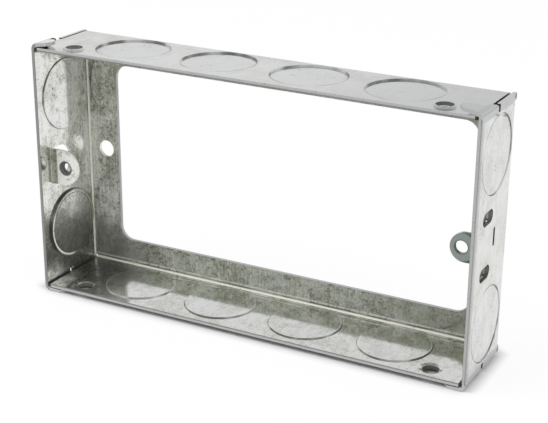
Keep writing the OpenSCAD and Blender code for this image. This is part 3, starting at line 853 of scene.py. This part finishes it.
def galvanised_material(sizes, finish):
    """Rolled zinc on folded sheet: clouds, streaks along the roll, matt sheared edges."""
    material, nodes = new_material("galvanised_sheet")
    at = SheetPlaces(nodes, sizes)
    dullness, scratches, stains, mottle, streak, relief = sheet_wear(nodes, at, finish)
    grain = nodes.noise(at.scaled(finish.grain), detail=2, roughness=0.6)
    line = finish.line
    on_disc = at.beyond_disc.fall(*spread(0, line, DISC_EDGE))
    outside = at.outside()
    right_wall = at.short_wall * (1 - at.left)
    clean = at.clean_front()
    cleaner_grain = (GRAIN_INSIDE - GRAIN_OUTSIDE) * outside
    dullness = dullness + (grain - 0.5) * (GRAIN_INSIDE - cleaner_grain)
    dullness = dullness * (1 - clean * CLEANER_FRONT)
    stains = stains * (1 - clean * UNSTAINED_FRONT)
    stains = stains * (1 - at.short_wall * at.front() * UNSTAINED_SIDES)
    fold = (at.fold() * FOLD_WIDTH).at_most(1) * (1 - outside)

    tint = nodes.mix(dullness.at_least(0).at_most(1), finish.zinc, finish.dull_zinc)
    # Painted reflection: the knockout discs are tinted bluer and darker, as if they mirrored a
    # darker sky.
    disc_reflection = DISC_REFLECTION_INSIDE + (outside * at.long_wall) * DISC_REFLECTION_OUTSIDE
    tint = nodes.mix(on_disc * disc_reflection, tint, finish.disc_reflection_tint)
    # The outer faces are darkened, more on the long walls and towards their right end.
    outer = outside * (SHORT_WALLS_DARKENING + (1 - SHORT_WALLS_DARKENING) * at.long_wall)
    outer = outer * (LEFT_DARKENING + RIGHT_DARKENING * at.x.rise(0, HALF_WIDTH) * at.long_wall)
    tint = nodes.mix(outer * finish.outer_darkening, tint, finish.darker_outer_zinc)
    # Painted shade in the lower left inner corner.
    tint = nodes.mix(at.dark_corner() * finish.corner_shade, tint, finish.grime_and_shade)
    burr = at.beyond_disc.between(*spread(0, line, BURR)) * INNER_BURR
    burr = burr.at_least(abs(at.beyond_disc).fall(*spread(0, line, STEP)) * EDGE_BURR)
    tint = nodes.mix(burr, tint, finish.burr)
    # Painted light: the lanced lug's face is made pale and matt, with its scratches.
    lightened = at.lug_face()
    # The crescent is a painted highlight in the same pale colour as the lug's face.
    crescent = at.crescent(line)
    scratched = lightened * (1 - SCRATCHED_LUG + SCRATCHED_LUG * scratches)
    tint = nodes.mix(scratched.at_least(crescent), tint, finish.lightened)
    # Painted shade on the started disc, darker towards its foot and broken up by the mottle.
    darkened = at.started() * on_disc * (DISC_SHADE + FOOT_SHADE * at.disc_foot())
    darkened = darkened * (EVEN_SHADE + (1 - EVEN_SHADE) * mottle.rise(*SHADE_MOTTLES))
    darkened = darkened * (1 - crescent)
    # Darker towards the right of the flange's inner face.
    darkened = darkened.at_least(at.flange * at.inside() * at.right_part() * RIGHT_FLANGE_DARKENING)
    # The real stains are laid over this darkening.
    darkened = (stains * finish.stained).at_least(darkened * DARKENING)
    tint = nodes.mix(darkened, tint, finish.stain_and_shade)
    # Painted reflection: pale, mottled strips beside the rear folds.
    painted_sheen = EVEN_SHEEN + (1 - EVEN_SHEEN) * mottle.fall(*SHEEN_MOTTLES)
    painted_sheen = at.painted_sheen() * painted_sheen
    tint = nodes.mix(painted_sheen, tint, finish.lightened)
    # Painted highlight along the inner folds between the flange and the walls.
    tint = nodes.mix(fold, tint, finish.fold_highlight)
    sheared = at.rim().at_least(at.opening_edge()).at_least(at.tab_edge())
    # Painted shade on the right wall's rounded front edge.
    tint = nodes.mix(at.edge_shade() * EDGE_SHADE, tint, finish.dark_edge)
    tint = nodes.mix(sheared, tint, finish.cut_edge)
    torn = at.dark_edge() * (TORN - UNTORN_RIGHT * right_wall)
    torn = torn.at_least(at.left_rim() * TORN_LEFT)
    tint = nodes.mix(torn, tint, finish.dark_edge)
    # Specks of grime and the painted shade lines.
    grime_and_shade = sheet_grime_and_shade(nodes, at, finish)
    tint = nodes.mix(grime_and_shade, tint, finish.grime_and_shade)

    matt = sheared.at_least(lightened).at_least(grime_and_shade).at_least(burr)
    roughness = (finish.smooth + (finish.rough - finish.smooth) * dullness
                 + scratches * SCRATCH_BLUR).at_least(SMOOTHEST).at_most(ROUGHEST)
    blur = fold * FOLD_BLUR + at.flange * finish.flange_blur \
        + on_disc * at.started() * DISC_BLUR + at.dark_corner() * CORNER_BLUR
    roughness = (roughness + blur).at_most(ROUGHEST)
    roughness = roughness + (ROUGHEST - roughness) * matt
    patches = mottle * PALE_WEIGHTS[0] + streak * PALE_WEIGHTS[1] + grain * PALE_WEIGHTS[2]
    pale = at.inside() * patches.fall(*PALE_PATCHES) * PALE_SATIN
    pale = pale * (1 - at.long_wall * LESS_PALE) * (1 - at.right_part())
    satin = at.flange * (1 + at.left_flange() * LOWER_LEFT_SATIN) * FLANGE_SATIN
    satin = satin.at_least(at.left_rear() * LEFT_REAR_SATIN).at_least(fold * FOLD_SATIN) + pale
    satin = satin.at_least(painted_sheen * SHEEN_SATIN).at_least(crescent * CRESCENT_SATIN)
    bump = nodes.add("ShaderNodeBump", None, {
        "Strength": 1.0, "Distance": 1.0, "Height": relief,
        "Normal": leaning_normal(nodes, at, finish)})
    shader = nodes.add("ShaderNodeBsdfPrincipled", None, {
        "Base Color": tint, "Metallic": 1 - matt * MATT - satin * (1 - matt),
        "Roughness": roughness, "Normal": bump.outputs[0]})
    finish_surface(nodes, shader.outputs[0])
    return material


def plated_material(finish):
    """Blue-grey plating, satin, rubbed lighter on the flat of the ear."""
    material, nodes = new_material("plated_lug")
    here = nodes.add("ShaderNodeTexCoord").outputs["Object"]
    x, _, z = nodes.parts(here)
    aside = x - finish.screw_x
    upwards = z - finish.screw_height
    distance = aside.slant(upwards)
    grain = nodes.noise(
        nodes.vector_math("SCALE", {0: here, "Scale": 1 / finish.grain}), detail=3, roughness=0.6)
    lightened = distance.between(*spread(0, finish.bore, EAR_RUBBED_START),
                              *spread(finish.ear / 2, MM, EAR_RUBBED_END))
    low = (aside + upwards).fall(*spread(0, finish.ear, EAR_LOW))
    tint = nodes.mix(grain.rise(*RUBBED_GRAINS) * finish.flecked, finish.plating, finish.worn)
    tint = nodes.mix(lightened * (finish.lightened + (1 - finish.lightened) * low), tint, finish.worn)
    edge = distance.rise(*spread(finish.ear / 2, MM, EAR_EDGE))
    edge = edge.at_least(distance.fall(*spread(0, finish.bore, EAR_BORE)))
    tint = nodes.mix(edge * finish.edged, tint, finish.dark)
    bump = nodes.add("ShaderNodeBump", None, {
        "Strength": 1.0, "Distance": 1.0, "Height": grain * finish.relief})
    shader = nodes.add("ShaderNodeBsdfPrincipled", None, {
        "Base Color": tint, "Metallic": 1.0,
        "Roughness": finish.satin + (grain - 0.5) * finish.uneven,
        "Normal": bump.outputs[0]})
    finish_surface(nodes, shader.outputs[0])
    return material


def dress(node_name, material):
    """Gives a CAD node its finish."""
    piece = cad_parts[node_name]
    piece.data.materials.clear()
    piece.data.materials.append(material)
    for face in piece.data.polygons:
        face.material_index = 0


def seen_directly(nodes):
    """1 for rays that see the background: from the camera, off metal or through glass."""
    path = nodes.add("ShaderNodeLightPath").outputs
    camera, glossy, transmission = (
        Value(nodes, path[f"Is {kind} Ray"]) for kind in ("Camera", "Glossy", "Transmission"))
    return camera.at_least(glossy).at_least(transmission)


def mirrored(nodes):
    """1 for rays that come off metal."""
    return Value(nodes, nodes.add("ShaderNodeLightPath").outputs["Is Glossy Ray"])


def from_the_box(nodes, shift):
    """Distance on the floor from the box, moved so far to the left and the back."""
    x, y, _ = nodes.parts(nodes.add("ShaderNodeTexCoord").outputs["Object"])
    out_x = (abs(x + shift) - HALF_WIDTH).at_least(0)
    out_y = (abs(y - shift) - HALF_DEPTH).at_least(0)
    return out_x.slant(out_y)


def plane(name, corners, material):
    """A flat stage piece with those corners."""
    mesh = bpy.data.meshes.new(name)
    mesh.from_pydata(corners, [], [tuple(range(len(corners)))])
    mesh.materials.append(material)
    piece = bpy.data.objects.new(name, mesh)
    bpy.context.scene.collection.objects.link(piece)
    return piece


def build_floor(look):
    """A pale floor that shows as white and keeps the object's shadow."""
    material, nodes = new_material("studio_floor")
    glow = nodes.shaders(mirrored(nodes), [
        nodes.add("ShaderNodeEmission", None, {"Color": opaque(WHITE), "Strength": strength})
        for strength in (1.0, look.mirrored_white)])
    shade = from_the_box(nodes, look.shade_shift).fall(0, look.shade_reach) * look.shade
    paint = nodes.shaders(shade, [
        nodes.add("ShaderNodeBsdfDiffuse", None, {"Color": (albedo, albedo, albedo, 1)})
        for albedo in (look.floor_paint, look.floor_dark)])
    white = seen_directly(nodes) * look.floor_white
    white = white * from_the_box(nodes, 0).rise(0, look.shade_reach) * (1 - shade)
    finish_surface(nodes, nodes.shaders(white, [paint, glow]).outputs[0])
    reach = look.floor_reach
    corners = [(-reach, -reach, 0), (reach, -reach, 0), (reach, reach, 0), (-reach, reach, 0)]
    plane("studio_floor", corners, material)


def build_card(look):
    """A dark card in front of the box, seen only in the metal."""
    material, nodes = new_material("studio_card")
    glow = nodes.add("ShaderNodeEmission", None, {"Color": opaque(look.card), "Strength": 1.0})
    finish_surface(nodes, glow.outputs[0])
    near = SHELL_LOW.y - look.card_gap
    side = look.card_reach
    far = near - side
    lift = look.card_lift
    lying = [(-side, far, lift), (side, far, lift), (side, near, lift), (-side, near, lift)]
    standing = [(-side, far, lift), (side, far, lift), (side, far, side), (-side, far, side)]
    for name, corners in (("studio_card_lying", lying), ("studio_card_standing", standing)):
        card = plane(name, corners, material)
        card.visible_camera = False
        card.visible_diffuse = False
        card.visible_shadow = False


def build_world(look):
    """White where it is seen, moderate grey as light."""
    world = bpy.data.worlds.new("studio")
    world.use_nodes = True
    nodes = Nodes(world.node_tree)
    direction = nodes.add("ShaderNodeTexCoord").outputs["Generated"]
    upwards = nodes.parts(direction)[2].at_least(0)
    light, seen, horizon, zenith = (
        nodes.add("ShaderNodeBackground", None, {"Color": opaque(WHITE), "Strength": strength})
        for strength in (look.ambient, 1.0, look.mirrored_white,
                         look.mirrored_white * (1 - look.ceiling)))
    sky = nodes.shaders(mirrored(nodes), [seen, nodes.shaders(upwards, [horizon, zenith])])
    sky = nodes.shaders(seen_directly(nodes), [light, sky])
    nodes.add("ShaderNodeOutputWorld", None, {"Surface": sky.outputs[0]})
    bpy.context.scene.world = world


def build_lamp(name, where, size, energy):
    """A soft square lamp that points at the box and isn't mirrored in it."""
    lamp = bpy.data.lights.new(name, "AREA")
    lamp.size = size
    lamp.energy = energy
    piece = bpy.data.objects.new(name, lamp)
    middle = (SHELL_LOW + SHELL_HIGH) / 2
    piece.visible_glossy = False
    piece.location = where
    piece.rotation_euler = (middle - Vector(where)).to_track_quat("-Z", "Y").to_euler()
    bpy.context.scene.collection.objects.link(piece)


def build_camera(look):
    """The camera at the photograph's angle."""
    camera = bpy.data.cameras.new("camera")
    camera.sensor_width = SENSOR_WIDTH
    camera.lens = look.lens
    camera.shift_x = look.shift_x
    camera.shift_y = look.shift_y
    camera.clip_start = CLIP_START
    piece = bpy.data.objects.new("camera", camera)
    back = -Vector(look.camera_forward).normalized()
    right = Vector(look.camera_up).cross(back).normalized()
    up = back.cross(right)
    turn = Matrix((right, up, back)).transposed().to_4x4()
    piece.matrix_world = Matrix.Translation(look.camera_place) @ turn
    bpy.context.scene.collection.objects.link(piece)
    bpy.context.scene.camera = piece


class EXTBOX_OT_sheet(bpy.types.Operator):
    """Finish the folded box as galvanised sheet"""

    bl_idname = "extbox.sheet"
    bl_label = "Galvanise the Box"

    def execute(self, context):
        look = context.scene.extension_box
        dress("box_shell", galvanised_material(look.sizes, look.sheet))
        return {"FINISHED"}


class EXTBOX_OT_sliding_lug(bpy.types.Operator):
    """Finish the sliding lug as plated steel"""

    bl_idname = "extbox.sliding_lug"
    bl_label = "Plate the Sliding Lug"

    def execute(self, context):
        dress("sliding_lug", plated_material(context.scene.extension_box.lug))
        return {"FINISHED"}


class EXTBOX_OT_stage(bpy.types.Operator):
    """Build the floor, the card, the lamps and the camera"""

    bl_idname = "extbox.stage"
    bl_label = "Build the Studio"

    def execute(self, context):
        look = context.scene.extension_box.studio
        context.scene.view_settings.view_transform = "Standard"
        build_world(look)
        build_floor(look)
        build_card(look)
        build_lamp("key_lamp", look.key_place, look.key_size, look.key_power)
        build_lamp("fill_lamp", look.fill_place, look.fill_size, look.fill_power)
        build_camera(look)
        return {"FINISHED"}


class ExtensionBoxLook(bpy.types.PropertyGroup):
    """Everything that a user would change."""

    sizes: PointerProperty(type=SheetSizes)
    sheet: PointerProperty(type=SheetFinish)
    lug: PointerProperty(type=LugFinish)
    studio: PointerProperty(type=StudioLook)


class EXTBOX_PT_panel(bpy.types.Panel):
    """Sizes, colours and steps of the extension box"""

    bl_idname = "EXTBOX_PT_panel"
    bl_label = "Extension Box"
    bl_space_type = "VIEW_3D"
    bl_region_type = "UI"
    bl_category = "Extension Box"

    def draw(self, context):
        look = context.scene.extension_box
        for step in STEPS:
            self.layout.operator(step.bl_idname)
        for group in (look.sizes, look.sheet, look.lug, look.studio):
            box = self.layout.box()
            for name in group.__annotations__:
                box.prop(group, name)


STEPS = (EXTBOX_OT_sheet, EXTBOX_OT_sliding_lug, EXTBOX_OT_stage)
CLASSES = (SheetSizes, SheetFinish, LugFinish, StudioLook, ExtensionBoxLook,
           *STEPS, EXTBOX_PT_panel)


def register():
    for item in CLASSES:
        bpy.utils.register_class(item)
    bpy.types.Scene.extension_box = PointerProperty(type=ExtensionBoxLook)


def unregister():
    del bpy.types.Scene.extension_box
    for item in reversed(CLASSES):
        bpy.utils.unregister_class(item)


def main():
    register()
    bpy.ops.extbox.sheet()
    bpy.ops.extbox.sliding_lug()
    bpy.ops.extbox.stage()


if __name__ == "__main__":
    main()
